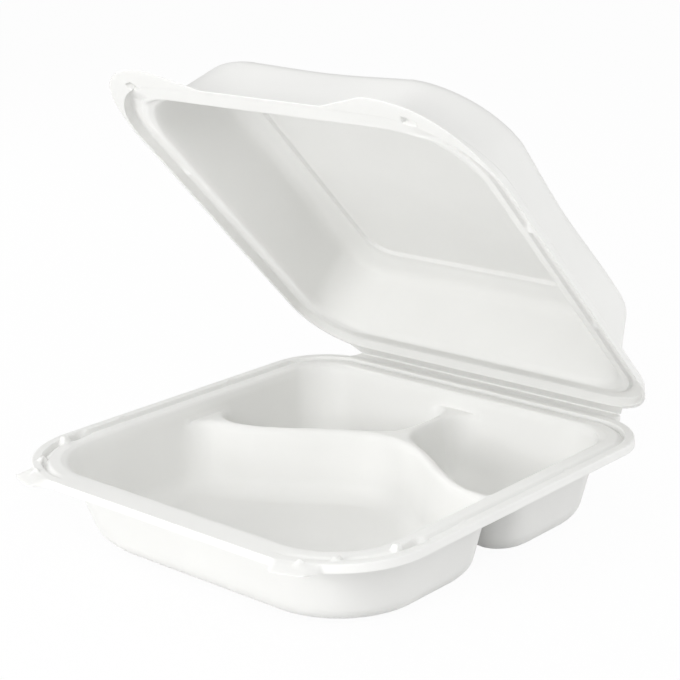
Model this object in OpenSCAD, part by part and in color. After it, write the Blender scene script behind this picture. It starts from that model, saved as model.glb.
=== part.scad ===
// Hinged food container with three compartments, formed from one plastic sheet.
// The tray stands on its compartment floors and the lid is drawn partly open.

/* [Outline] */
// Width of both rims along the fold
rim_width = 226; // [205:1:245]
// Depth of both rims from the fold side to the front
rim_depth = 237; // [215:1:260]
// Radius of the front corners of both rims
front_corner_r = 48; // [44:1:54]
// Radius of the corners beside the fold
rear_corner_r = 34; // [28:1:40]
// Increase of the corner radius from the rim to the top of the walls
corner_land = 5; // [0:0.5:8]
// Thickness of the formed sheet
sheet = 0.5; // [0.4:0.05:0.7]

/* [Tray] */
// Height of the tray from the floor to the top of its lip
tray_h = 44; // [38:1:52]
// Turned-down edge outside the lip
tray_skirt = 4; // [2:0.5:6]
// Rim of the tray from its outer edge to the compartment wall
tray_band = 16; // [15.5:0.5:19]
// Width of the flat lip round the tray
tray_lip = 4.4; // [3:0.1:5.5]
// Drop from the lip to the channel inside it
tray_channel = 3; // [1.5:0.1:4]
// Drop from the lip to the land at the compartment's edge
tray_land_drop = 0.6; // [0.4:0.1:1.2]
// Width of that land
tray_land = 6; // [4:0.5:7]
// Lean of the compartment walls in degrees
tray_draft = 10; // [6:0.5:13]
// Further inset of the front wall at the floor
tray_front_lean = 5; // [0:1:16]
// Radius at the foot of the walls and dividers
foot_r = 12; // [7:0.5:13]
// Corner radius of the front compartment at its floor
floor_front_r = 42; // [30:1:46]
// Corner radius of the rear compartments at their floor
floor_rear_r = 25; // [16:1:30]

/* [Dividers] */
// Drop from the lip to the top of the dividers
divider_drop = 9; // [6:0.5:14]
// Radius over the top of the dividers
divider_top_r = 3; // [2.5:0.25:6]
// Where the main divider meets the side walls, measured from the tray's middle
divider_y = 11; // [0:1:20]
// How far the main divider bows towards the fold
divider_bow = 36; // [20:1:40]
// Half length of that bow
bow_reach = 80; // [60:1:90]
// Reach of the rounding where dividers and walls meet
junction_r = 20; // [14:1:28]

/* [Lid] */
// Height of the lid above the closing plane
lid_h = 45.4; // [38:0.1:50]
// Rim of the lid from its outer edge to the dome wall
lid_band = 15; // [14:0.5:18]
// Width of the flat flange round the lid
lid_lip = 1.8; // [1.2:0.1:2.6]
// Rise of the channel inside that flange
lid_channel = 4.8; // [3:0.1:5.5]
// Width of that channel
lid_channel_w = 6.6; // [5:0.1:7]
// Rise of the land between the channel and the dome wall
lid_land_rise = 3; // [1.5:0.1:4]
// Lean of the dome walls in degrees
lid_draft = 12; // [8:0.5:13]
// Further inset of the front wall at the top
lid_front_lean = 5; // [0:1:16]
// Radius of the dome's shoulder
shoulder_r = 12.5; // [7:0.5:13]
// Radius of the dome's front corners at its top
dome_front_r = 43; // [28:1:46]
// Radius of the dome's corners beside the fold at its top
dome_rear_r = 26; // [18:1:32]
// Hollow in the middle of each dome wall
wall_hollow = 2.5; // [0:0.5:6]
// Inset of the raised panel from the rim's edge
panel_inset = 36; // [35.5:0.5:42]
// Further inset of the panel at the front
panel_front = 14; // [0:1:24]
// Corner radius of the panel
panel_corner_r = 16; // [10:1:22]
// Rise of the panel
panel_rise = 2.2; // [0.5:0.1:3]

/* [Fold] */
// Strip between each rim and the fold line
fold_strip = 6; // [4:0.5:10]
// Length of the fold line
fold_span = 180; // [150:1:196]
// Gap between the closed halves
fold_gap = 0.4; // [0.3:0.05:0.8]
// Bare distance from each strip's edge to the fold line
fold_bare = 0.3; // [0.2:0.05:0.5]
// Lid angle as drawn, from closed
open_angle = 45.4; // [0:0.1:178]

/* [Corner tabs] */
// Reach of the tray's thumb tabs beyond the rim
tray_tab = 8.5; // [4:0.5:10]
// Reach of the lid's thumb tabs beyond the rim
lid_tab = 10.5; // [4:0.5:12]
// Where a tray tab starts round the corner, in degrees from the side
tray_tab_from = 56; // [45:1:60]
// Where a tray tab ends round the corner, in degrees from the side
tray_tab_to = 86; // [76:1:88]
// Where a lid tab starts round the corner, in degrees from the side
lid_tab_from = 28; // [15:1:40]
// Length over which a lid tab tapers along the front
lid_tab_taper = 29; // [24:1:40]

/* [Corner locks] */
// Direction of the locks round the front corners, in degrees from the side
lock_at = 69; // [64:1:72]
// Half width of a lock stud round the corner in degrees
lock_half = 4; // [3:0.5:6]
// Rise of the tray's lock studs above its lip
lock_rise = 1.5; // [0.8:0.1:2]
// Further rise of the lid's recesses over those studs
lock_room = 0.9; // [0.6:0.1:1.4]

/* [Hidden] */
sheet_colour = [0.93, 0.93, 0.92];
edge_lean = 0.6;
channel_lean = 0.8;
round_in = 1.2;
panel_slope = 1;
strip_end = 5;
tab_end = 8;
tab_sag = 2;
lock_end = 4;
floor_z = sheet;
fold_y = rim_depth / 2 + fold_strip;
fold_z = tray_h + fold_gap / 2;

function smooth(t) = let (u = min(max(t, 0), 1)) u * u * (3 - 2 * u);
function bell(u) = abs(u) < 1 ? (1 + cos(180 * u)) / 2 : 0;
function mix(a, b, t) = a + (b - a) * t;
function mirrored(half) = concat([for (k = [len(half) - 1:-1:0]) -half[k]],
                                 [for (k = [1:len(half) - 1]) half[k]]);

// Points of a rounded corner from one direction to another
function arc(c, r, from, to, steps) =
    [for (k = [0:steps]) let (a = mix(from, to, k / steps)) [c[0] + r * cos(a), c[1] + r * sin(a)]];

// Wall that leans in from [inset, height] to a rounded foot on a floor
function wall_rows(start, draft, r, floor, steps) =
    let (z = floor + r * (1 - sin(draft)),
         d = start[0] + (start[1] - z) * tan(draft),
         centre = [d + r * cos(draft), floor + r])
    concat([start, mix(start, [d, z], 0.5)], arc(centre, r, 180 + draft, 270, steps));

// Rows of the tray from the outer edge inwards, as [inset, height]
channel_d = edge_lean + tray_lip;
wall_z = tray_h - tray_land_drop - round_in;
tray_rim = [
    [0, tray_h - tray_skirt],
    [edge_lean, tray_h],
    [channel_d, tray_h],
    [channel_d + channel_lean, tray_h - tray_channel],
    [tray_band - round_in - tray_land, tray_h - tray_land_drop],
    [tray_band - round_in, tray_h - tray_land_drop]];
tray_rows = concat(tray_rim, wall_rows([tray_band, wall_z], tray_draft, foot_r, floor_z, 3));
tray_k = len(tray_rows);
tray_lip_rows = [1, 2];
tray_foot = tray_rows[tray_k - 1][0];

// Half section of a divider, as [distance from its middle, height]
divider_z = tray_h - divider_drop;
divider_rows = let (top = arc([0, divider_z - divider_top_r], divider_top_r, 90, tray_draft, 3))
    concat([for (k = [0:2]) top[k]], wall_rows(top[3], tray_draft, foot_r, floor_z, 3));
divider_offsets = [for (p = divider_rows) p[0]];
divider_half = divider_offsets[len(divider_offsets) - 1];
divider_edge = divider_top_r * (cos(tray_draft) - (1 - sin(tray_draft)) * tan(tray_draft));
wall_edge = tray_band + (wall_z - divider_z) * tan(tray_draft);

// Rows of the lid from the outer edge inwards, as [inset, height above the closing plane]
lid_flange_z = fold_gap / 2;
lid_land_z = lid_flange_z + lid_land_rise;
lid_land_d = lid_lip + lid_channel_w + edge_lean + channel_lean;
lid_rim = [
    [0, lid_flange_z],
    [lid_lip, lid_flange_z],
    [lid_lip + edge_lean, lid_flange_z + lid_channel],
    [lid_land_d - channel_lean, lid_flange_z + lid_channel],
    [lid_land_d, lid_land_z],
    [lid_band - round_in, lid_land_z]];
lid_top = lid_h - sheet - panel_rise;
lid_wall = [for (p = wall_rows([lid_band, -lid_land_z - round_in], lid_draft, shoulder_r, -lid_top, 4))
    [p[0], -p[1]]];
lid_shoulder = lid_wall[len(lid_wall) - 1][0];
panel_d = max(panel_inset, lid_shoulder + wall_hollow + panel_slope / 3);
lid_panel = [[panel_d, lid_top], [panel_d + panel_slope, lid_top + panel_rise]];
lid_rows = concat(lid_rim, lid_wall, lid_panel);
lid_k = len(lid_rows);

// Where a grid line stands: its place outside the middle block, or 0 inside it
function outside(i, n, k) = i < k ? i - k : i > n - 1 - k ? i - (n - 1 - k) : 0;

// Corner radius of a rim at an inset: that of the rim, changing below it to that of the floor or dome
function corner_at(d, rim_r, inner_r, inner_d, band) =
    d < band ? rim_r - d
    : mix(rim_r - band + corner_land, inner_r, min((d - band) / (inner_d - band), 1));

// Direction of the corner at the grid place [a, b], in degrees from the side
function rim_angle(a, b, m) = abs(a) == m ? 45 * abs(b) / m : 90 - 45 * abs(a) / m;

// A point on a rim's outline at an inset with a corner radius, for a grid place outside the middle block
function rim_point(a, b, m, d, lean, r, x, y) =
    let (cx = rim_width / 2 - d - r,
         cy = rim_depth / 2 - d - r - (b < 0 ? lean : 0),
         angle = rim_angle(a, b, m))
    [a == 0 ? x : sign(a) * (cx + r * cos(angle)), b == 0 ? y : sign(b) * (cy + r * sin(angle))];

// How much of a corner lock of some half width stands at a grid place
function lock_share(a, b, m, half) =
    b < 0 ? smooth((half + lock_end - abs(rim_angle(a, b, m) - lock_at)) / lock_end) : 0;

// How much of a tray tab, and of a lid tab that tapers along the front, stands at a grid place
function tray_tab_share(a, b, m) = a == 0 || b >= 0 ? 0
    : let (angle = rim_angle(a, b, m)) smooth(min(angle - tray_tab_from, tray_tab_to - angle) / tab_end);
function lid_tab_share(a, b, m, x) = b >= 0 ? 0
    : a == 0 ? max(1 - (rim_width / 2 - front_corner_r - abs(x)) / lid_tab_taper, 0)
    : smooth((rim_angle(a, b, m) - lid_tab_from) / tab_end);

// How much of the fold strip stands at a place along the fold side
function strip_share(x) = 1 - smooth((abs(x) - (fold_span / 2 - strip_end)) / strip_end);

// The outer edge of a rim, drawn out to the fold line and to the corner tabs
function edge_point(a, b, m, x, y, z, strip_z, reach, tab, tab_z) =
    let (p = rim_point(a, b, m, 0, 0, b < 0 ? front_corner_r : rear_corner_r, x, y),
         angle = rim_angle(a, b, m),
         strip = b == m ? strip_share(p[0]) : 0)
    [p[0] + sign(a) * reach * tab * cos(angle),
     mix(p[1] - reach * tab * sin(angle), fold_y - fold_bare, strip),
     mix(mix(z, tab_z, tab), strip_z, strip)];

// Line of the main divider, and how far a place lies from the walls and dividers round it
function divider_line(x) = divider_y + divider_bow * bell(x / bow_reach);
function divider_slope(x) = divider_bow * PI / (2 * bow_reach)
    * (abs(x) < bow_reach ? sin(180 * x / bow_reach) : 0);
function rounded_min(a, b) = min(a, b) - pow(max(junction_r - abs(a - b), 0), 2) / (4 * junction_r);
function room(x, y, wall) =
    let (line = divider_line(x),
         main = abs(y - line) * cos(atan(divider_slope(x))) - divider_edge,
         rear = abs(x) - divider_edge,
         inner = y < line ? main : rounded_min(main, rear))
    rounded_min(inner, wall - wall_edge);
function inner_wall(x, y) =
    min(rim_width / 2 - abs(x), rim_depth / 2 - y, rim_depth / 2 + y - tray_front_lean);
function floor_height(x, y, z, wall) = max(z, lookup(room(x, y, wall) + divider_edge, divider_rows));

// Grid lines of the tray across and along, closer together over the dividers
tray_half_x = rim_width / 2 - tray_foot - max(floor_front_r, floor_rear_r);
tray_front = rim_depth / 2 - tray_foot - tray_front_lean - floor_front_r;
tray_rear = rim_depth / 2 - tray_foot - floor_rear_r;
tray_x = mirrored(concat(divider_offsets, [mix(divider_half, tray_half_x, 0.5), tray_half_x]));
tray_y = concat([-tray_front, mix(-tray_front, divider_y - divider_half, 0.5)],
                [for (e = mirrored(divider_offsets)) divider_y + e],
                [mix(divider_y + divider_half, tray_rear, 0.5), tray_rear]);
tray_nx = len(tray_x) + 2 * tray_k;
tray_ny = len(tray_y) + 2 * tray_k;
foot_y = rim_depth / 2 - tray_foot;
function bow_share(y) =
    y > divider_y ? min((foot_y - y) / (foot_y - divider_y - divider_half), 1)
    : min((y + foot_y) / (divider_y - divider_half + foot_y), 1);
function tray_line(x, y) = y + bow_share(y) * (divider_line(x) - divider_y);

function tray_point(i, j) =
    let (a = outside(i, tray_nx, tray_k),
         b = outside(j, tray_ny, tray_k),
         m = max(abs(a), abs(b)),
         x = tray_x[min(max(i - tray_k, 0), len(tray_x) - 1)],
         y0 = tray_y[min(max(j - tray_k, 0), len(tray_y) - 1)],
         row = tray_rows[tray_k - m])
    m == tray_k ? edge_point(a, b, m, x, y0, row[1], tray_h,
                             tray_tab, tray_tab_share(a, b, m), tray_h - tab_sag)
    : m == 0 ? let (y = tray_line(x, y0)) [x, y, floor_height(x, y, floor_z, inner_wall(x, y))]
    : let (r = b < 0 ? corner_at(row[0], front_corner_r, floor_front_r, tray_foot, tray_band)
                     : corner_at(row[0], rear_corner_r, floor_rear_r, tray_foot, tray_band),
           lean = tray_front_lean * min(max((wall_z - row[1]) / (wall_z - floor_z), 0), 1),
           p = rim_point(a, b, m, row[0], lean, r, x, tray_line(sign(a) * rim_width / 2, y0)))
        [p[0], p[1], len(search(tray_k - m, tray_lip_rows)) > 0
         ? row[1] + lock_rise * lock_share(a, b, m, lock_half)
         : tray_k - m < len(tray_rim) ? row[1] : floor_height(p[0], p[1], row[1], row[0])];

// Grid lines of the lid, whose walls are hollowed in the middle of each side
lid_lines = [0, 0.25, 0.5, 0.75, 1];
lid_half_x = rim_width / 2 - max(panel_d + panel_slope + panel_corner_r,
                                lid_shoulder + max(dome_front_r, dome_rear_r));
lid_front = rim_depth / 2 - rim_width / 2 + lid_half_x - max(lid_front_lean, panel_front);
lid_rear = rim_depth / 2 - rim_width / 2 + lid_half_x;
lid_x = mirrored([for (t = lid_lines) t * lid_half_x]);
lid_y = concat([for (k = [len(lid_lines) - 1:-1:1]) -lid_lines[k] * lid_front],
               [for (t = lid_lines) t * lid_rear]);
lid_nx = len(lid_x) + 2 * lid_k;
lid_ny = len(lid_y) + 2 * lid_k;
function hollow(a, b, x, y) =
    a == 0 ? bell(x / lid_half_x) : b == 0 ? bell(y / (y < 0 ? lid_front : lid_rear)) : 0;

function lid_point(i, j) =
    let (a = outside(i, lid_nx, lid_k),
         b = outside(j, lid_ny, lid_k),
         m = max(abs(a), abs(b)),
         x = lid_x[min(max(i - lid_k, 0), len(lid_x) - 1)],
         y = lid_y[min(max(j - lid_k, 0), len(lid_y) - 1)],
         row = lid_rows[min(lid_k - m, lid_k - 1)],
         panel = m <= len(lid_panel),
         up = min(max((row[1] - lid_land_z - round_in) / (lid_top - lid_land_z - round_in), 0), 1))
    m == lid_k ? edge_point(a, b, m, x, y, row[1], row[1],
                            lid_tab, lid_tab_share(a, b, m, x), row[1])
    : m == 0 ? [x, y, lid_top + panel_rise]
    : let (r = panel ? panel_corner_r
               : b < 0 ? corner_at(row[0], front_corner_r, dome_front_r, lid_shoulder, lid_band)
               : corner_at(row[0], rear_corner_r, dome_rear_r, lid_shoulder, lid_band),
           in = lid_k - m < len(lid_rim) || panel ? 0 : wall_hollow * smooth(up) * hollow(a, b, x, y),
           p = rim_point(a, b, m, row[0] + in, panel ? panel_front : lid_front_lean * up, r, x, y))
        [p[0], p[1], lid_k - m != 1 ? row[1]
                     : row[1] + (lock_rise + lock_room) * lock_share(a, b, m, lock_half + 2)];

// A sheet of even thickness over a grid of points, thickened to one side
function grid_normal(g, i, j, nx, ny) =
    let (u = g[min(i + 1, nx - 1)][j] - g[max(i - 1, 0)][j],
         v = g[i][min(j + 1, ny - 1)] - g[i][max(j - 1, 0)],
         n = cross(u, v))
    n / norm(n);

module formed_sheet(g, nx, ny, side) {
    back = [for (i = [0:nx - 1]) [for (j = [0:ny - 1])
        g[i][j] + side * sheet * grid_normal(g, i, j, nx, ny)]];
    count = nx * ny;
    points = concat([for (i = [0:nx - 1], j = [0:ny - 1]) g[i][j]],
                    [for (i = [0:nx - 1], j = [0:ny - 1]) back[i][j]]);
    function at(i, j) = i * ny + j;
    function turned(f) = side < 0 ? f : [f[2], f[1], f[0]];
    function cell(i, j) =
        norm(g[i][j] - g[i + 1][j + 1]) < norm(g[i + 1][j] - g[i][j + 1])
        ? [[at(i, j), at(i, j + 1), at(i + 1, j + 1)], [at(i, j), at(i + 1, j + 1), at(i + 1, j)]]
        : [[at(i, j), at(i, j + 1), at(i + 1, j)], [at(i, j + 1), at(i + 1, j + 1), at(i + 1, j)]];
    front_faces = [for (i = [0:nx - 2], j = [0:ny - 2], f = cell(i, j)) turned(f)];
    back_faces = [for (f = front_faces) [f[2] + count, f[1] + count, f[0] + count]];
    border = concat([for (i = [0:nx - 2]) at(i, 0)], [for (j = [0:ny - 2]) at(nx - 1, j)],
                    [for (i = [nx - 1:-1:1]) at(i, ny - 1)], [for (j = [ny - 1:-1:1]) at(0, j)]);
    edge_faces = [for (k = [0:len(border) - 1])
        let (p = border[k], q = border[(k + 1) % len(border)])
        each [turned([p, q, p + count]), turned([q, q + count, p + count])]];
    polyhedron(points, concat(front_faces, back_faces, edge_faces), convexity = 8);
}

// Tray with a front compartment and two rear ones, its top face on the grid
module tray() {
    color(sheet_colour)
        formed_sheet([for (i = [0:tray_nx - 1]) [for (j = [0:tray_ny - 1]) tray_point(i, j)]],
                     tray_nx, tray_ny, -1);
}

// Domed lid, its inner face on the grid, swung open about the fold line
module lid() {
    color(sheet_colour)
        translate([0, fold_y, fold_z])
            rotate([-open_angle, 0, 0])
                translate([0, -fold_y, 0])
                    formed_sheet([for (i = [0:lid_nx - 1]) [for (j = [0:lid_ny - 1]) lid_point(i, j)]],
                                 lid_nx, lid_ny, 1);
}

tray();
lid();
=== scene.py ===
# %% [markdown]
# A hinged takeaway container, dressed in Blender.
# The real thing is a single sheet of white plastic. It is heated, drawn into a mould, trimmed, and then
# folded along one thinned line, so one half becomes a divided tray and the other a domed lid.
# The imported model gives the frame: two bodies, tray and lid, that turn about the fold line.
# Everything here is in that frame, and lengths are written in millimetres until a mesh is made.

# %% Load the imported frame
import math

import bpy
import numpy as np
from mathutils import Matrix, Vector


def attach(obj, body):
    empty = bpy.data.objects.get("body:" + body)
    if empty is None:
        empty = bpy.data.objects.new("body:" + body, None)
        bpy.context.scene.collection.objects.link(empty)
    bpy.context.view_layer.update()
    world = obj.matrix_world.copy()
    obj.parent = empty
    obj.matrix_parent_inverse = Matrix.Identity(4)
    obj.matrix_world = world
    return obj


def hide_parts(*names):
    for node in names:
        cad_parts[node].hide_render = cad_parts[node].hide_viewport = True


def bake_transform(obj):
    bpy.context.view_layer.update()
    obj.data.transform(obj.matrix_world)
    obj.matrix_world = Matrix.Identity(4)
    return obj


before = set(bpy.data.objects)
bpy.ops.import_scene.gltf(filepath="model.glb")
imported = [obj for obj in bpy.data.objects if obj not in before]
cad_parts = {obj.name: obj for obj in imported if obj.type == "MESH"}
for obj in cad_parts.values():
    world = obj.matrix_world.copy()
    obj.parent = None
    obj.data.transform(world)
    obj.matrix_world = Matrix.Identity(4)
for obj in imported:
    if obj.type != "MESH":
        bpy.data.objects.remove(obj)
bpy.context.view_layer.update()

# %% [markdown]
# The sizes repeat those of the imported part, so that the finer meshes lie where its solids are.
# A sheet like this has no sharp lines: plastic can't follow one, so nearly every change runs out softly.

# %% Sizes of the two rims and soft steps
MM = 0.001
RIM_WIDTH = 226
RIM_DEPTH = 237
FRONT_CORNER_R = 48
REAR_CORNER_R = 34
CORNER_LAND = 5
SHEET = 0.5
EDGE_LEAN = 0.6
CHANNEL_LEAN = 0.8
ROUND_IN = 1.2
RIM_STEP = 1.0


def smooth(t):
    """Runs from 0 to 1 with soft ends."""
    t = np.clip(t, 0, 1)
    return t * t * (3 - 2 * t)


def bell(u):
    """A hump of height 1 between -1 and 1."""
    return np.where(np.abs(u) < 1, (1 + np.cos(np.pi * np.clip(u, -1, 1))) / 2, 0)


# %% [markdown]
# A section line is a short list of corners, as [inset from the edge, height].
# Each corner is rounded with a quadratic curve, and long straights are split so that the mesh stays even.
# Below the rim the section is a leaning wall, as a mould needs to let go of the sheet, on a rounded foot.

# %% Section lines with rounded corners
def rounded_section(corners, reaches, longest=3.0, steps=4):
    """The section through its corners, each rounded over its reach along both sides."""
    points = [np.array(c, float) for c in corners]
    line = [points[0]]
    for before, corner, after, reach in zip(points, points[1:], points[2:], reaches):
        back, ahead = before - corner, after - corner
        start = corner + back * min(reach / np.linalg.norm(back), 0.5)
        end = corner + ahead * min(reach / np.linalg.norm(ahead), 0.5)
        for t in np.linspace(0, 1, steps):
            line.append((1 - t) ** 2 * start + 2 * t * (1 - t) * corner + t * t * end)
    line.append(points[-1])
    fine = [line[0]]
    for p, q in zip(line, line[1:]):
        count = math.ceil(np.linalg.norm(q - p) / longest)
        fine += [p + (q - p) * k / count for k in range(1, count + 1)]
    return np.array(fine)


def wall_section(start, draft, radius, floor, arc_steps=9, wall_steps=7):
    """A leaning wall from [inset, height] down to a rounded foot on a floor."""
    lean = math.radians(draft)
    foot_z = floor + radius * (1 - math.sin(lean))
    foot_d = start[0] + (start[1] - foot_z) * math.tan(lean)
    middle = np.array([foot_d + radius * math.cos(lean), floor + radius])
    angles = np.radians(np.linspace(180 + draft, 270, arc_steps))
    shares = np.linspace(0, 1, wall_steps + 1)[:-1]
    wall = [np.array(start) + (np.array([foot_d, foot_z]) - start) * t for t in shares]
    return np.array(wall + [middle + radius * np.array([math.cos(a), math.sin(a)]) for a in angles])


# %% [markdown]
# The mesh is a grid. Its middle is a plain block, and round it lie the rows of the section, one ring each.
# In every ring the straight sides keep the block's lines and the corners get their own points,
# so the lines never cross and all faces are four-sided.

# %% A grid of rings round a middle block
def ring_grid(inset, front_r, rear_r, front_lean, across, along, middle_y):
    """Plan places of a grid whose outer rings are rounded rectangles at the given insets."""
    count = len(inset)
    i, j = np.meshgrid(np.arange(len(across) + 2 * count), np.arange(len(along) + 2 * count), indexing="ij")
    a = np.where(i < count, i - count, np.maximum(i - (len(across) - 1 + count), 0))
    b = np.where(j < count, j - count, np.maximum(j - (len(along) - 1 + count), 0))
    ring = np.maximum(np.abs(a), np.abs(b))
    row = np.minimum(count - ring, count - 1)
    u = across[np.clip(i - count, 0, len(across) - 1)]
    v = along[np.clip(j - count, 0, len(along) - 1)]
    side_front = RIM_WIDTH / 2 - inset[row] - front_r[row]
    side_rear = RIM_WIDTH / 2 - inset[row] - rear_r[row]
    end_front = RIM_DEPTH / 2 - inset[row] - front_r[row] - front_lean[row]
    end_rear = RIM_DEPTH / 2 - inset[row] - rear_r[row]
    share = np.where(b < 0, 0, np.where(b > 0, 1, (v + 1) / 2))
    half = side_front + (side_rear - side_front) * share
    radius = np.where(b < 0, front_r[row], rear_r[row])
    largest = np.maximum(ring, 1)
    angle = np.where(np.abs(a) == ring, 45 * np.abs(b) / largest, 90 - 45 * np.abs(a) / largest)
    turn = np.radians(angle)
    corner_x = np.where(b < 0, side_front, side_rear) + radius * np.cos(turn)
    side_x = RIM_WIDTH / 2 - inset[row]
    x = np.where(a == 0, u * half, np.sign(a) * np.where(b == 0, side_x, corner_x))
    straight_y = middle_y + np.where(v < 0, v * (end_front + middle_y), v * (end_rear - middle_y))
    corner_y = np.sign(b) * (np.where(b < 0, end_front, end_rear) + radius * np.sin(turn))
    y = np.where(b == 0, straight_y, corner_y)
    corner = np.where((a == 0) & (b == 0), -1, np.where(a == 0, 90, np.where(b == 0, 0, angle)))
    return {"x": x, "y": y, "a": a, "b": b, "row": row, "ring": ring, "angle": corner, "d": inset[row]}


def spread(count, power):
    """Line places from -1 to 1, even for a power of 1 and closer together round 0 for a larger one."""
    t = np.linspace(-1, 1, count)
    return np.sign(t) * np.abs(t) ** power


# %% [markdown]
# The tray's rim: a turned-down edge, a flat lip, a channel inside it, a land near the lip's height, the wall.
# The channel makes the thin rim stiff. Rows further in than the wall's foot lie on the floor.

# %% Section of the tray
TRAY_H = 44
TRAY_SKIRT = 4
TRAY_BAND = 16
TRAY_LIP = 4.4
TRAY_CHANNEL = 3
TRAY_LAND_DROP = 0.6
TRAY_LAND = 6
TRAY_DRAFT = 10
TRAY_FRONT_LEAN = 5
FOOT_R = 12
FLOOR_FRONT_R = 42
FLOOR_REAR_R = 25
FLOOR_Z = SHEET
FLOOR_FIRST_ROW = 2
FLOOR_LAST_ROW = 18
FLOOR_ROWS = 7
TRAY_RIM_REACHES = [0.6, 0.5, 0.6, 0.8, 0.8]

channel_d = EDGE_LEAN + TRAY_LIP
land_z = TRAY_H - TRAY_LAND_DROP
wall_z = land_z - ROUND_IN
tray_corners = [
    (0, TRAY_H - TRAY_SKIRT), (EDGE_LEAN, TRAY_H), (channel_d, TRAY_H),
    (channel_d + CHANNEL_LEAN, TRAY_H - TRAY_CHANNEL), (TRAY_BAND - ROUND_IN - TRAY_LAND, land_z),
    (TRAY_BAND - ROUND_IN, land_z), (TRAY_BAND, wall_z)]
tray_rim = rounded_section(tray_corners, TRAY_RIM_REACHES, longest=RIM_STEP)
tray_wall = wall_section((TRAY_BAND, wall_z), TRAY_DRAFT, FOOT_R, FLOOR_Z)
tray_foot = tray_wall[-1][0]
floor_rows = tray_foot + np.linspace(FLOOR_FIRST_ROW, FLOOR_LAST_ROW, FLOOR_ROWS)
tray_floor = np.array([(d, FLOOR_Z) for d in floor_rows])
tray_section = np.concatenate([tray_rim, tray_wall[1:], tray_floor])
print("tray section rows:", len(tray_section), "foot inset:", round(tray_foot, 2), "mm")


def corner_radius(d, rim_r, inner_r, inner_d, band):
    """Corner radius at an inset: that of the rim, then of the wall, then of the floor or dome."""
    land = CORNER_LAND * smooth((d - band + ROUND_IN) / ROUND_IN)
    share = np.clip((d - band) / (inner_d - band), 0, 1)
    wall = rim_r - band + CORNER_LAND
    beyond = np.maximum(d - inner_d, 0)
    return np.where(d <= band, rim_r - d + land, wall + (inner_r - wall) * share - beyond)


# %% [markdown]
# The compartments are one surface. Its height depends on the distance to the nearest wall or divider,
# and that distance is rounded where two of them meet, which gives the flowing corners of a drawn sheet.
# The divider's front face also gets the slow waves that a sheet shows when it cools on the mould.

# %% Height of the compartments
DIVIDER_DROP = 9
DIVIDER_TOP_R = 3
DIVIDER_Y = 11
DIVIDER_BOW = 36
BOW_REACH = 80
JUNCTION_R = 20
WAVE = 0.3
WAVE_LENGTH = 38
WAVE_FADE = 4

divider_z = TRAY_H - DIVIDER_DROP
top_angles = np.radians(np.linspace(90, TRAY_DRAFT, 9))
divider_top = np.stack([np.cos(top_angles), np.sin(top_angles)], 1) * DIVIDER_TOP_R
divider_top[:, 1] += divider_z - DIVIDER_TOP_R
divider_side = wall_section(divider_top[-1], TRAY_DRAFT, FOOT_R, FLOOR_Z, arc_steps=15)
divider_section = np.concatenate([divider_top, divider_side[1:]])
divider_half = divider_section[-1][0]
draft = math.radians(TRAY_DRAFT)
divider_edge = DIVIDER_TOP_R * (math.cos(draft) - (1 - math.sin(draft)) * math.tan(draft))
wall_edge = TRAY_BAND + (wall_z - divider_z) * math.tan(draft)
foot_y = RIM_DEPTH / 2 - tray_foot


def divider_line(x):
    return DIVIDER_Y + DIVIDER_BOW * bell(x / BOW_REACH)


def rounded_min(p, q):
    gap = np.maximum(JUNCTION_R - np.abs(p - q), 0)
    return np.minimum(p, q) - gap * gap / (4 * JUNCTION_R)


def compartment_height(x, y, wall):
    """Height of the sheet at a place that lies the given distance inside the rim's edge."""
    line = divider_line(x)
    slope = np.where(np.abs(x) < BOW_REACH, np.sin(np.pi * x / BOW_REACH), 0)
    slope = slope * DIVIDER_BOW * np.pi / (2 * BOW_REACH)
    main = np.abs(y - line) / np.sqrt(1 + slope * slope) - divider_edge
    wavy = main + WAVE * smooth(main / WAVE_FADE) * np.cos(2 * np.pi * x / WAVE_LENGTH)
    rear = np.abs(x) - divider_edge
    nearest = np.where(y < line, wavy, rounded_min(main, rear))
    nearest = rounded_min(nearest, wall - wall_edge)
    return np.interp(nearest + divider_edge, divider_section[:, 0], divider_section[:, 1])


def bowed(x, y):
    """Moves the grid's lines along with the bow of the divider."""
    rear = np.minimum((foot_y - y) / (foot_y - DIVIDER_Y - divider_half), 1)
    front = np.minimum((y + foot_y) / (DIVIDER_Y - divider_half + foot_y), 1)
    share = np.clip(np.where(y > DIVIDER_Y, rear, front), 0, 1)
    return y + share * (divider_line(x) - DIVIDER_Y)


# %% [markdown]
# At the front corners both rims are drawn out to thumb tabs, and along the rear to the fold strip.
# Both are made from the outermost rows of the rim: they swing outwards, most at the very edge.
# Along the front the rims are level: their channels run out in the corners.
# Small pressed marks, such as the lock studs, are soft-edged patches that lift or sink the sheet.

# %% Tabs, fold strip and pressed marks
FOLD_OUT = 6
FOLD_RISE = 0.2
FOLD_Y = RIM_DEPTH / 2 + FOLD_OUT
FOLD_Z = TRAY_H + FOLD_RISE
FOLD_SPAN = 180
FOLD_BARE = 0.3
STRIP_END = 5
TAB_END = 8
LEVEL_MARGIN = 4
LEVEL_FADE = 3


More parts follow.
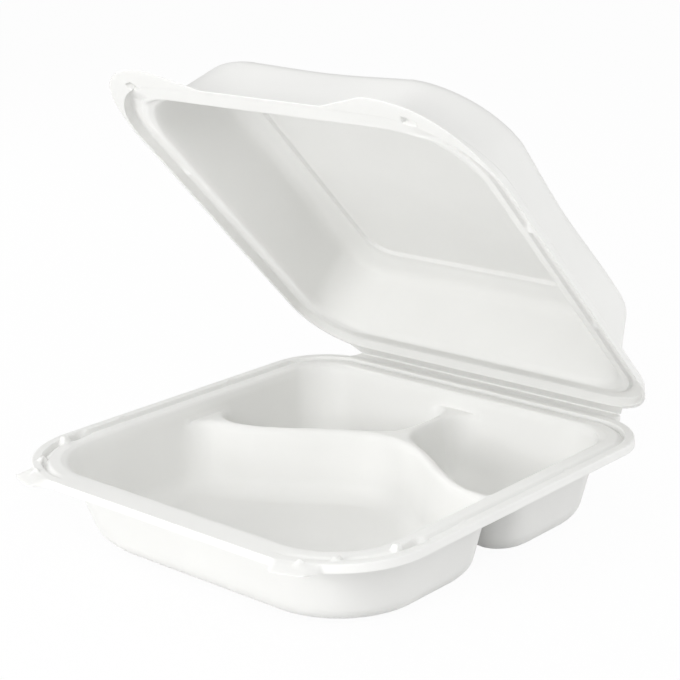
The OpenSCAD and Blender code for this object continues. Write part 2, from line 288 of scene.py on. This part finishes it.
def draw_out_edge(grid, z, swing, lip_z, strip_z, reach, tab, tab_z):
    """Swings the rows less than swing inside the edge out to the corner tabs and to the fold strip."""
    out = np.clip(1 - grid["d"] / swing, 0, 1)
    x, y = grid["x"], grid["y"]
    turn = np.radians(grid["angle"])
    tab = np.where((grid["b"] < 0) & (out > 0), tab, 0)
    x2 = x + np.sign(grid["a"]) * reach * tab * out * np.cos(turn)
    y2 = y - reach * tab * out * np.sin(turn)
    z2 = z + (lip_z + (tab_z - lip_z) * out - z) * tab
    behind = (grid["b"] > 0) & (np.abs(grid["a"]) <= grid["b"]) & (out > 0)
    strip = np.where(behind, 1 - smooth((np.abs(x) - (FOLD_SPAN / 2 - STRIP_END)) / STRIP_END), 0)
    y3 = y2 + strip * out * (FOLD_Y - FOLD_BARE - y2)
    z3 = z2 + strip * (lip_z + (strip_z - lip_z) * out - z2)
    return x2, y3, z3


def level_front(grid, z, level, start, span, edge, band):
    """Levels the channel along the front of a rim; it runs out in the corners, from one direction on."""
    front = np.where(grid["b"] < 0, smooth((grid["angle"] - start) / span), 0)
    inwards = smooth((grid["d"] - band + LEVEL_MARGIN) / LEVEL_FADE)
    across = np.where(grid["d"] >= edge, 1 - inwards, 0)
    return z + front * across * (level - z)


def rim_place(angle, d):
    """Plan place on the right front corner of a rim, by its direction from the side and its inset."""
    turn = math.radians(angle)
    radius = FRONT_CORNER_R - d
    return (RIM_WIDTH / 2 - FRONT_CORNER_R + radius * math.cos(turn),
            FRONT_CORNER_R - RIM_DEPTH / 2 - radius * math.sin(turn))


def patch(x, y, centre, angle, half, soft=0.5):
    """1 on a small block and 0 away from it, left and right; half is its size outwards and along the rim."""
    turn = math.radians(angle)
    dx, dy = np.abs(x) - centre[0], y - centre[1]
    outwards = dx * math.cos(turn) - dy * math.sin(turn)
    along = dx * math.sin(turn) + dy * math.cos(turn)
    return smooth((1 - np.abs(outwards) / half[0]) / soft) * smooth((1 - np.abs(along) / half[1]) / soft)


# %% [markdown]
# The grid becomes a mesh, a Solidify modifier gives it the sheet's thickness away from the food side,
# and a narrow Bevel rounds the trimmed edge, which otherwise would look like cut paper.

# %% Making a sheet from a grid
EDGE_ROUND = 0.2
SHARP_ANGLE = 55


def sheet_object(name, x, y, z, side):
    """A smooth mesh over a grid of places in millimetres, thickened to one side."""
    nx, ny = x.shape
    places = np.stack([x, y, z], -1).reshape(-1, 3) * MM
    number = np.arange(nx * ny).reshape(nx, ny)
    corners = [number[:-1, :-1], number[1:, :-1], number[1:, 1:], number[:-1, 1:]]
    faces = np.stack(corners, -1).reshape(-1, 4)
    mesh = bpy.data.meshes.new(name)
    mesh.from_pydata(places.tolist(), [], faces.tolist())
    mesh.shade_smooth()
    sheet = bpy.data.objects.new(name, mesh)
    bpy.context.scene.collection.objects.link(sheet)
    thick = sheet.modifiers.new("sheet thickness", "SOLIDIFY")
    thick.thickness = SHEET * MM
    thick.offset = side
    edge = sheet.modifiers.new("trimmed edge", "BEVEL")
    edge.width = EDGE_ROUND * MM
    edge.segments = 2
    edge.limit_method = "ANGLE"
    edge.angle_limit = math.radians(SHARP_ANGLE)
    print(name, "points:", nx * ny, "faces:", len(faces))
    return sheet


# %% [markdown]
# The tray comes first. The section's rows give the rim and the walls, and the compartment height the inside.
# The grid's lines are moved along with the bowed divider, so that its crest runs along one of them.
# Then the front of the rim is levelled, and the tabs and the fold strip are drawn out.

# %% The tray's surface
TRAY_TAB = 8.5
TRAY_TAB_FROM = 56
TRAY_TAB_TO = 86
TRAY_TAB_SAG = 2
LEVEL_GAP = 0.3
TRAY_LEVEL_FROM = 60
TRAY_LEVEL_SPAN = 30
FOOT_MARGIN = 0.01
TRAY_LINES_ACROSS = 71
TRAY_LINES_ALONG = 91
CROWD_ACROSS = 1.3
CROWD_ALONG = 1.2

rows_d, rows_z = tray_section[:, 0], tray_section[:, 1]
tray_lean = TRAY_FRONT_LEAN * np.clip((wall_z - rows_z) / (wall_z - FLOOR_Z), 0, 1)
tray_grid = ring_grid(
    rows_d, corner_radius(rows_d, FRONT_CORNER_R, FLOOR_FRONT_R, tray_foot, TRAY_BAND),
    corner_radius(rows_d, REAR_CORNER_R, FLOOR_REAR_R, tray_foot, TRAY_BAND), tray_lean,
    spread(TRAY_LINES_ACROSS, CROWD_ACROSS), spread(TRAY_LINES_ALONG, CROWD_ALONG), DIVIDER_Y)
x, row = tray_grid["x"], tray_grid["row"]
y = np.where(tray_grid["d"] > tray_foot - FOOT_MARGIN, bowed(x, tray_grid["y"]), tray_grid["y"])
tray_grid["y"] = y
front_wall = RIM_DEPTH / 2 + y - TRAY_FRONT_LEAN
block_wall = np.minimum(RIM_WIDTH / 2 - np.abs(x), np.minimum(RIM_DEPTH / 2 - y, front_wall))
wall = np.where(tray_grid["ring"] == 0, block_wall, tray_grid["d"])
compartments = np.maximum(rows_z[row], compartment_height(x, y, wall))
z = np.where(tray_grid["d"] >= TRAY_BAND, compartments, rows_z[row])
z = level_front(tray_grid, z, TRAY_H - LEVEL_GAP, TRAY_LEVEL_FROM, TRAY_LEVEL_SPAN, EDGE_LEAN, TRAY_BAND)

tab_edge = np.minimum(tray_grid["angle"] - TRAY_TAB_FROM, TRAY_TAB_TO - tray_grid["angle"])
tray_tab = smooth(tab_edge / TAB_END)
x, y, z = draw_out_edge(
    tray_grid, z, EDGE_LEAN, TRAY_H, TRAY_H, TRAY_TAB, tray_tab, TRAY_H - TRAY_TAB_SAG)
print("tray grid lines:", x.shape, "highest:", round(float(z.max()), 2), "mm")

# %% [markdown]
# Pressed marks keep the lid in place: a lock stud by each thumb tab, a narrow stop in each front corner,
# a lug with a pocket behind it on each side, and two small nibs on each side's lip.
# Each has a place, a half size outwards and along the rim, and a turn in degrees.

# %% The tray's pressed marks
LOCK_ANGLE = 68
STUD_RISE = 1.4
STUD_INSET = 0.4
STUD_HALF = (1.8, 2.2)
STUD_SOFT = 0.8
STOP_RISE = 1.2
STOP_ANGLE = 49
STOP_INSET = 5.8
STOP_TURN = 12
STOP_HALF = (1.7, 3.0)
LUG_RISE = 2.2
LUG_PLACE = (104.6, -78.2)
LUG_TURN = 6
LUG_HALF = (2.6, 2.6)
POCKET_DEPTH = 3.2
POCKET_PLACE = (105.6, -68.6)
POCKET_TURN = 4
POCKET_HALF = (3.2, 7.0)
POCKET_SOFT = 0.35
NIB_RISE = 0.8
NIB_X = 108
NIB_HALF = (1.6, 1.6)
MARKS_Y = (-38, 41)

on_rim = tray_grid["d"] < TRAY_BAND
stud_place = rim_place(LOCK_ANGLE, STUD_INSET)
z = z + on_rim * STUD_RISE * patch(x, y, stud_place, LOCK_ANGLE, STUD_HALF, STUD_SOFT)
stop = on_rim * patch(x, y, rim_place(STOP_ANGLE, STOP_INSET), STOP_TURN, STOP_HALF)
lug = on_rim * patch(x, y, LUG_PLACE, LUG_TURN, LUG_HALF)
pocket = on_rim * patch(x, y, POCKET_PLACE, POCKET_TURN, POCKET_HALF, POCKET_SOFT)
nibs = on_rim * sum(patch(x, y, (NIB_X, mark_y), 0, NIB_HALF) for mark_y in MARKS_Y)
raised = stop * (TRAY_H + STOP_RISE - z) + lug * (TRAY_H + LUG_RISE - z) + NIB_RISE * nibs
z = z - POCKET_DEPTH * pocket + raised
tray_sheet = sheet_object("tray_sheet", x, y, z, -1)

# %% [markdown]
# The lid is the same kind of sheet, with a taller dome, walls that are hollowed in the middle of each side,
# and a raised panel on top. Its rim is a narrow flat flange, a deep channel that goes over the tray's lip,
# and a land. From a tight bend above the wall the top rises gently to the panel, which stiffens it.
# The lid is worked out closed, then turned open about the fold line.

# %% Section of the lid
LID_H = 45.4
LID_BAND = 15
LID_LIP = 1.8
LID_CHANNEL = 4.8
LID_CHANNEL_W = 6.6
LID_LAND_RISE = 3
LID_DRAFT = 12
LID_FRONT_LEAN = 5
TOP_FALL = 18
BEND_REACH = 5
DOME_FRONT_R = 43
DOME_REAR_R = 26
WALL_HOLLOW = 2.5
PANEL_INSET = 36
PANEL_FRONT = 14
PANEL_CORNER_R = 16
PANEL_RISE = 2.2
PANEL_SLOPE = 1
PANEL_MARGIN = 1.2
PANEL_REACH = 0.6
PANEL_FLAT = 5
PANEL_FIRST_ROW = 7
PANEL_LAST_ROW = 15
PANEL_ROWS = 5
FLANGE_RISE = 0.2
FLANGE_END = 0.5
FLANGE_ROWS = 6
LID_RIM_REACHES = [0.4, 0.8, 0.8, 0.5, 0.8]

flange_z = FLANGE_RISE
lid_land_z = flange_z + LID_LAND_RISE
lid_land_d = LID_LIP + LID_CHANNEL_W + EDGE_LEAN + CHANNEL_LEAN
channel_z = flange_z + LID_CHANNEL
lid_top = LID_H - SHEET - PANEL_RISE
lid_corners = [
    (LID_LIP - FLANGE_END, flange_z), (LID_LIP, flange_z), (LID_LIP + EDGE_LEAN, channel_z),
    (lid_land_d - CHANNEL_LEAN, channel_z), (lid_land_d, lid_land_z), (LID_BAND - ROUND_IN, lid_land_z),
    (LID_BAND, lid_land_z + ROUND_IN)]
flange_rows = np.linspace(0, LID_LIP - FLANGE_END, FLANGE_ROWS + 1)[:-1]
lid_flange = np.array([(d, flange_z) for d in flange_rows])
lid_channel = rounded_section(lid_corners, LID_RIM_REACHES, longest=RIM_STEP)
lid_rim = np.concatenate([lid_flange, lid_channel])
wall_start = np.array([LID_BAND, lid_land_z + ROUND_IN])
wall_lean = math.tan(math.radians(LID_DRAFT))
top_fall = math.tan(math.radians(TOP_FALL))
top_edge = PANEL_INSET - PANEL_MARGIN
top_run = top_edge - LID_BAND + wall_start[1] * wall_lean
bend_z = (lid_top - top_run * top_fall) / (1 - wall_lean * top_fall)
bend = (LID_BAND + (bend_z - wall_start[1]) * wall_lean, bend_z)
wall_corners = [wall_start, bend, (top_edge, lid_top)]
lid_wall = rounded_section(wall_corners, [BEND_REACH], longest=3.0, steps=9)[:-1]
lid_shoulder = bend[0] + BEND_REACH
panel_z = lid_top + PANEL_RISE
panel_corners = [(top_edge, lid_top), (PANEL_INSET, lid_top),
                 (PANEL_INSET + PANEL_SLOPE, panel_z), (PANEL_INSET + PANEL_FLAT, panel_z)]
lid_panel = rounded_section(panel_corners, [PANEL_REACH, PANEL_REACH], longest=2)
panel_rows = np.linspace(PANEL_FIRST_ROW, PANEL_LAST_ROW, PANEL_ROWS)
panel_inner = np.array([(PANEL_INSET + d, panel_z) for d in panel_rows])
lid_section = np.concatenate([lid_rim, lid_wall[1:], lid_panel, panel_inner])
print("lid section rows:", len(lid_section), "shoulder inset:", round(lid_shoulder, 2), "mm")

# %% [markdown]
# The panel's rings are squarer than the dome's, so corner radius and front inset change on the way in.
# The middle of each wall is hollowed a little, the front of the rim is levelled, and the tabs, which taper
# off along the front edge, are drawn out like those of the tray.

# %% The lid's surface
HOLLOW_REACH = 60
LID_TAB = 10.5
LID_TAB_FROM = 10
LID_TAB_SPAN = 65
LID_TAB_TAPER = 29
LID_LEVEL_FROM = 40
LID_LEVEL_SPAN = 32
LID_LINES_ACROSS = 55
LID_LINES_ALONG = 73

rows_d, rows_z = lid_section[:, 0], lid_section[:, 1]
panel_share = smooth((rows_d - lid_shoulder) / (top_edge - lid_shoulder))
up = np.clip((rows_z - lid_land_z - ROUND_IN) / (lid_top - lid_land_z - ROUND_IN), 0, 1)
lid_lean = LID_FRONT_LEAN * up + (PANEL_FRONT - LID_FRONT_LEAN) * panel_share
panel_r = PANEL_CORNER_R - np.maximum(rows_d - PANEL_INSET, 0)
lid_front_r = corner_radius(rows_d, FRONT_CORNER_R, DOME_FRONT_R, lid_shoulder, LID_BAND)
lid_rear_r = corner_radius(rows_d, REAR_CORNER_R, DOME_REAR_R, lid_shoulder, LID_BAND)
lid_front_r = lid_front_r + (panel_r - lid_front_r) * panel_share
lid_rear_r = lid_rear_r + (panel_r - lid_rear_r) * panel_share
lid_grid = ring_grid(
    rows_d, lid_front_r, lid_rear_r, lid_lean, spread(LID_LINES_ACROSS, 1), spread(LID_LINES_ALONG, 1), 0)
row = lid_grid["row"]
hollow_x = np.where(lid_grid["a"] == 0, bell(lid_grid["x"] / HOLLOW_REACH), 0)
hollow_y = np.where(lid_grid["b"] == 0, bell(lid_grid["y"] / HOLLOW_REACH), 0)
hollow = WALL_HOLLOW * smooth(up[row]) * (1 - panel_share[row]) * (lid_grid["d"] > LID_BAND)
lid_grid["x"] = lid_grid["x"] - np.sign(lid_grid["a"]) * hollow * hollow_y
lid_grid["y"] = lid_grid["y"] - np.sign(lid_grid["b"]) * hollow * hollow_x

from_corner = RIM_WIDTH / 2 - FRONT_CORNER_R - np.abs(lid_grid["x"])
taper = np.clip(1 - from_corner / LID_TAB_TAPER, 0, 1)
lid_tab = np.where(lid_grid["a"] == 0, taper, smooth((lid_grid["angle"] - LID_TAB_FROM) / LID_TAB_SPAN))
z = level_front(
    lid_grid, rows_z[row], flange_z + LEVEL_GAP, LID_LEVEL_FROM, LID_LEVEL_SPAN, LID_LIP, LID_BAND)
x, y, z = draw_out_edge(lid_grid, z, LID_LIP, flange_z, flange_z, LID_TAB, lid_tab, flange_z)
print("lid grid lines:", x.shape, "highest, closed:", round(float(z.max()), 2), "mm")

# %% [markdown]
# The marks of the lid answer those of the tray: a recess over each lock stud, and ribs across the channel.
# Then the finished lid is turned open about the fold line, to where the photograph shows it.

# %% The lid's pressed marks, and opening it
RECESS_DEPTH = 2.6
RECESS_INSET = 0.2
RECESS_HALF = (2.8, 3.6)
RECESS_SOFT = 0.4
RIB_X = 105
RIB_HALF = (5, 1.6)
OPEN_ANGLE = 45.4

on_rim = lid_grid["d"] < LID_BAND
recess_place = rim_place(LOCK_ANGLE, RECESS_INSET)
z = z + on_rim * RECESS_DEPTH * patch(x, y, recess_place, LOCK_ANGLE, RECESS_HALF, RECESS_SOFT)
ribs = on_rim * sum(patch(x, y, (RIB_X, mark_y), 0, RIB_HALF) for mark_y in MARKS_Y)
z = z + ribs * (np.minimum(z, lid_land_z) - z)


def opened(y, z):
    """Turns closed places about the fold line, to where they lie with the lid open."""
    turn = math.radians(OPEN_ANGLE)
    from_fold = y - FOLD_Y
    return (FOLD_Y + from_fold * math.cos(turn) + z * math.sin(turn),
            FOLD_Z - from_fold * math.sin(turn) + z * math.cos(turn))


y, z = opened(y, z)
lid_sheet = sheet_object("lid_sheet", x, y, z, 1)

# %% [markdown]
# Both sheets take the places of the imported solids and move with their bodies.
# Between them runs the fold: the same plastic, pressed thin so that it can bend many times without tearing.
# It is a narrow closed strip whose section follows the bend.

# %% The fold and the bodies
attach(tray_sheet, "tray")
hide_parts("tray")
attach(lid_sheet, "lid")
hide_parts("lid")

FOLD_SHEET = 0.3
FOLD_OVERLAP = 0.4
FOLD_BEND = 0.3
FOLD_STEP = 0.2
FOLD_STATIONS = 41

web_y = FOLD_Y - FOLD_BARE - FOLD_OVERLAP
lid_end = opened(web_y, flange_z + SHEET / 2)
tray_end = (web_y, TRAY_H - SHEET / 2)
fold_path = rounded_section([tray_end, (FOLD_Y, FOLD_Z), lid_end], [FOLD_BEND], longest=FOLD_STEP)
ahead = np.gradient(fold_path, axis=0)
normal = np.stack([-ahead[:, 1], ahead[:, 0]], 1) / np.linalg.norm(ahead, axis=1)[:, None]
loop = np.concatenate([fold_path + normal * FOLD_SHEET / 2, (fold_path - normal * FOLD_SHEET / 2)[::-1]])
stations = np.linspace(-FOLD_SPAN / 2 + STRIP_END, FOLD_SPAN / 2 - STRIP_END, FOLD_STATIONS)
count = len(loop)
web_points = [(float(sx) * MM, float(ly) * MM, float(lz) * MM) for sx in stations for ly, lz in loop]
web_faces = []
for k in range(len(stations) - 1):
    here, beyond = k * count, (k + 1) * count
    for n in range(count):
        after = (n + 1) % count
        web_faces.append((here + n, here + after, beyond + after, beyond + n))
last = (len(stations) - 1) * count
web_faces += [tuple(range(count))[::-1], tuple(range(last, last + count))]
web_mesh = bpy.data.meshes.new("fold_web")
web_mesh.from_pydata(web_points, [], web_faces)
web_mesh.shade_smooth()
fold_web = bpy.data.objects.new("fold_web", web_mesh)
bpy.context.scene.collection.objects.link(fold_web)
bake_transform(fold_web)
print("fold web section points:", count)

# %% [markdown]
# Mineral-filled polypropylene, formed from warm sheet. The mineral makes it opaque, white and chalky;
# the mould leaves a satin skin with a very fine grain, and drawing leaves soft long waves in the walls.
# The light and shade of those waves is also painted into the colour, as faint lighter and darker bands about
# 30 mm across.
# To the eye that is an even, soft white, with broad and weak highlights and hardly any mirror image,
# so the specular level lies below that of a polished plastic, and the grain varies the roughness.

# %% Material of the sheet
# The real grain is about 0.1 mm, which is too fine for this picture, so it is drawn coarser.
GRAIN_SIZE = 0.0012
# Size of the painted light and shade bands in the colour.
PAINTED_BAND_SIZE = 0.030


def linear(hex_colour):
    """An sRGB hex colour as linear values."""
    parts = [int(hex_colour[k:k + 2], 16) / 255 for k in (1, 3, 5)]
    return [c / 12.92 if c <= 0.04045 else ((c + 0.055) / 1.055) ** 2.4 for c in parts] + [1]


def add_node(tree, kind, settings=(), sockets=(), links=()):
    """Adds one node, sets its properties and input sockets, and links what feeds it."""
    node = tree.nodes.new(kind)
    for name, value in dict(settings).items():
        setattr(node, name, value)
    for name, value in dict(sockets).items():
        node.inputs[name].default_value = value
    for name, source in dict(links).items():
        tree.links.new(source, node.inputs[name])
    return node


formed_sheet = bpy.data.materials.new("thermoformed_filled_polypropylene")
formed_sheet.use_nodes = True
tree = formed_sheet.node_tree
tree.nodes.clear()
place = add_node(tree, "ShaderNodeTexCoord")
grain = add_node(tree, "ShaderNodeTexNoise", sockets={"Scale": 1 / GRAIN_SIZE, "Detail": 3},
                 links={"Vector": place.outputs["Object"]})
# Painted light and shade: a slow noise makes the colour lighter and darker in bands about 30 mm across,
# standing in for the light on the walls' long waves.
painted_band_noise = add_node(tree, "ShaderNodeTexNoise", sockets={"Scale": 1 / PAINTED_BAND_SIZE, "Detail": 1},
                 links={"Vector": place.outputs["Object"]})
painted_band_colour = add_node(tree, "ShaderNodeValToRGB", links={"Fac": painted_band_noise.outputs["Fac"]})
painted_band_colour.color_ramp.elements[0].color = linear("#E7E7E5")
painted_band_colour.color_ramp.elements[1].color = linear("#EBEBE9")
gloss = add_node(tree, "ShaderNodeMapRange", sockets={"To Min": 0.42, "To Max": 0.52},
                 links={"Value": grain.outputs["Fac"]})
bump = add_node(tree, "ShaderNodeBump", sockets={"Strength": 0.06, "Distance": 0.0002},
                links={"Height": grain.outputs["Fac"]})
# The base colour carries the painted bands of light and shade.
shader = add_node(tree, "ShaderNodeBsdfPrincipled", sockets={"IOR": 1.49, "Specular IOR Level": 0.25},
                  links={"Base Color": painted_band_colour.outputs["Color"], "Roughness": gloss.outputs["Result"],
                         "Normal": bump.outputs["Normal"]})
add_node(tree, "ShaderNodeOutputMaterial", links={"Surface": shader.outputs["BSDF"]})
for sheet in (tray_sheet, lid_sheet, fold_web):
    sheet.data.materials.append(formed_sheet)

# %% [markdown]
# The stage is a white floor that runs into a white world. The floor is lit like the object, but to the camera
# it glows nearly plain white, so that the container stands free as on a cut-out product picture.
# The last few hundredths are left to the lit floor, which keeps a trace of the container's shadow.
# The world is brighter overhead than near the horizon, as in a room with a pale ceiling.

# %% Floor and world
FLOOR_HALF = 4
SKY_LEVEL = 0.19
SKY_RISE = 0.74
WHITE_SHARE = 0.95

floor_mesh = bpy.data.meshes.new("floor")
floor_corners = [(sx * FLOOR_HALF, sy * FLOOR_HALF, 0) for sx, sy in ((-1, -1), (1, -1), (1, 1), (-1, 1))]
floor_mesh.from_pydata(floor_corners, [], [(0, 1, 2, 3)])
floor = bpy.data.objects.new("floor", floor_mesh)
bpy.context.scene.collection.objects.link(floor)
white_floor = bpy.data.materials.new("white_floor")
white_floor.use_nodes = True
tree = white_floor.node_tree
tree.nodes.clear()
path = add_node(tree, "ShaderNodeLightPath")
matt = add_node(tree, "ShaderNodeBsdfDiffuse", sockets={"Color": linear("#F0F0F0")})
glow = add_node(tree, "ShaderNodeEmission", sockets={"Color": linear("#FFFFFF"), "Strength": 1.0})
seen = add_node(tree, "ShaderNodeMath", {"operation": "MAXIMUM"},
                links={0: path.outputs["Is Camera Ray"], 1: path.outputs["Is Glossy Ray"]})
seen_all = add_node(tree, "ShaderNodeMath", {"operation": "MAXIMUM"},
                    links={0: seen.outputs["Value"], 1: path.outputs["Is Transmission Ray"]})
share = add_node(tree, "ShaderNodeMath", {"operation": "MULTIPLY"}, {1: WHITE_SHARE},
                 {0: seen_all.outputs["Value"]})
both = add_node(tree, "ShaderNodeMixShader", links={
    "Fac": share.outputs["Value"], 1: matt.outputs["BSDF"], 2: glow.outputs["Emission"]})
add_node(tree, "ShaderNodeOutputMaterial", links={"Surface": both.outputs["Shader"]})
floor_mesh.materials.append(white_floor)

world = bpy.data.worlds.new("white_studio")
bpy.context.scene.world = world
world.use_nodes = True
tree = world.node_tree
tree.nodes.clear()
path = add_node(tree, "ShaderNodeLightPath")
place = add_node(tree, "ShaderNodeTexCoord")
axes = add_node(tree, "ShaderNodeSeparateXYZ", links={"Vector": place.outputs["Generated"]})
level = add_node(tree, "ShaderNodeMath", {"operation": "MULTIPLY_ADD"}, {1: SKY_RISE, 2: SKY_LEVEL},
                 {0: axes.outputs["Z"]})
soft = add_node(tree, "ShaderNodeBackground", sockets={"Color": linear("#FFFFFF")},
                links={"Strength": level.outputs["Value"]})
plain = add_node(tree, "ShaderNodeBackground", sockets={"Color": linear("#FFFFFF"), "Strength": 1.0})
both = add_node(tree, "ShaderNodeMixShader", links={
    "Fac": path.outputs["Is Camera Ray"], 1: soft.outputs["Background"], 2: plain.outputs["Background"]})
add_node(tree, "ShaderNodeOutputWorld", links={"Surface": both.outputs["Shader"]})


# %% [markdown]
# Five weak soft boxes stand round the container, about 1.4 m away, as in a small product studio.
# In the photograph the front wall is the brightest and the walls that face right are a good deal greyer,
# so most of the light comes from the front. The powers were fitted to the photograph's tones, and they stay
# so low that the white sheet keeps its shading and doesn't burn out.

# %% Lamps
BOX_SIZE = 0.5
BOX_TARGET = Vector((0, 0, 0.1))


def soft_box(name, place, power):
    """A square soft box that shines from its place towards the container."""
    lamp = bpy.data.lights.new(name, "AREA")
    lamp.size = BOX_SIZE
    lamp.energy = power
    box = bpy.data.objects.new(name, lamp)
    bpy.context.scene.collection.objects.link(box)
    box.location = place
    box.rotation_euler = (BOX_TARGET - Vector(place)).to_track_quat("-Z", "Y").to_euler()
    print(name, "at", place, "m:", power, "W")


soft_box("front_low_box", (-0.3, -1.25, 0.13), 3.4)
soft_box("front_box", (0, -1.3, 0.5), 6.2)
soft_box("camera_side_box", (0.9, -0.9, 0.9), 4.7)
soft_box("right_rear_box", (1.0, 0.9, 0.25), 4.8)
soft_box("left_box", (-1.3, 0, 0.5), 4.2)

# %% [markdown]
# The camera stands where the photograph was taken from. Its place and angles come from fitting the
# container's outline, and the lens from the size of the picture on a 36 mm wide sensor.

# %% Camera
AZIMUTH = math.radians(40.965)
ELEVATION = math.radians(16.579)
ROLL = math.radians(-0.641)
CAMERA_PLACE = Vector((0.53078, -0.60377, 0.33586))
LENS_MM = 93.32
SENSOR_MM = 36

back = Vector((math.sin(AZIMUTH) * math.cos(ELEVATION), -math.cos(AZIMUTH) * math.cos(ELEVATION),
               math.sin(ELEVATION)))
level = Vector((0, 0, 1)).cross(back).normalized()
upright = back.cross(level)
right = level * math.cos(ROLL) + upright * math.sin(ROLL)
above = upright * math.cos(ROLL) - level * math.sin(ROLL)
lens = bpy.data.cameras.new("photo_camera")
lens.lens = LENS_MM
lens.sensor_width = SENSOR_MM
camera = bpy.data.objects.new("photo_camera", lens)
bpy.context.scene.collection.objects.link(camera)
camera.matrix_world = Matrix((
    (right.x, above.x, back.x, CAMERA_PLACE.x), (right.y, above.y, back.y, CAMERA_PLACE.y),
    (right.z, above.z, back.z, CAMERA_PLACE.z), (0, 0, 0, 1)))
bpy.context.scene.camera = camera
bpy.context.scene.view_settings.view_transform = "Standard"

# %% [markdown]
# At the end the view layer is updated once more.

# %% Finish
bpy.context.view_layer.update()
